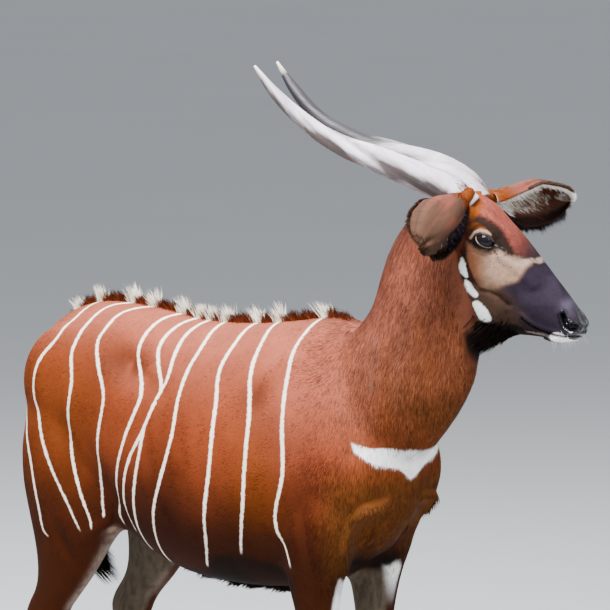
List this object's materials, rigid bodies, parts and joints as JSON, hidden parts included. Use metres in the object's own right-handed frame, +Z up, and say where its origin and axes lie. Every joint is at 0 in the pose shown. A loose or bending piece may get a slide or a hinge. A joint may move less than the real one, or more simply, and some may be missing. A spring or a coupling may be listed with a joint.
{
  "type": "standing bongo antelope",
  "caption": "Life-size still model of a bull bongo antelope that stands square with its head turned a little to its left.",
  "frame": {"origin": "middle of the bounding box at the level of the soles", "axes": "+Z up, +X the way the body faces, +Y the animal's left side"},
  "size_m": [1.4586, 0.5684, 1.7234],
  "materials": {
    "body_coat": "short dense chestnut coat with white stripes",
    "neck_coat": "longer coarse brown coat",
    "head_coat": "very short chestnut and dark coat with a wet black nose",
    "tail_hair": "chestnut dock with a dark tuft",
    "lower_leg_coat": "short dark coat with pale patches",
    "ear_skin": "thin tan skin with fine hair",
    "horn": "smooth pale grey horn with ivory tips",
    "eye": "wet dark eye",
    "hoof": "black horn"
  },
  "bodies": {
    "root": {"torso": "body_coat", "hindleg_upper_left": "body_coat", "hindleg_upper_right": "body_coat", "foreleg_upper_left": "body_coat", "foreleg_upper_right": "body_coat", "neck": "neck_coat", "head": "head_coat", "tail": "tail_hair", "foreleg_lower_left": "lower_leg_coat", "foreleg_lower_right": "lower_leg_coat", "hindleg_lower_left": "lower_leg_coat", "hindleg_lower_right": "lower_leg_coat", "ear_left": "ear_skin", "ear_right": "ear_skin", "horn_left": "horn", "horn_right": "horn", "eye_left": "eye", "eye_right": "eye", "hoof_fore_inner_left": "hoof", "hoof_fore_inner_right": "hoof", "hoof_fore_outer_left": "hoof", "hoof_fore_outer_right": "hoof", "hoof_hind_inner_left": "hoof", "hoof_hind_inner_right": "hoof", "hoof_hind_outer_left": "hoof", "hoof_hind_outer_right": "hoof"}
  },
  "joints": []
}
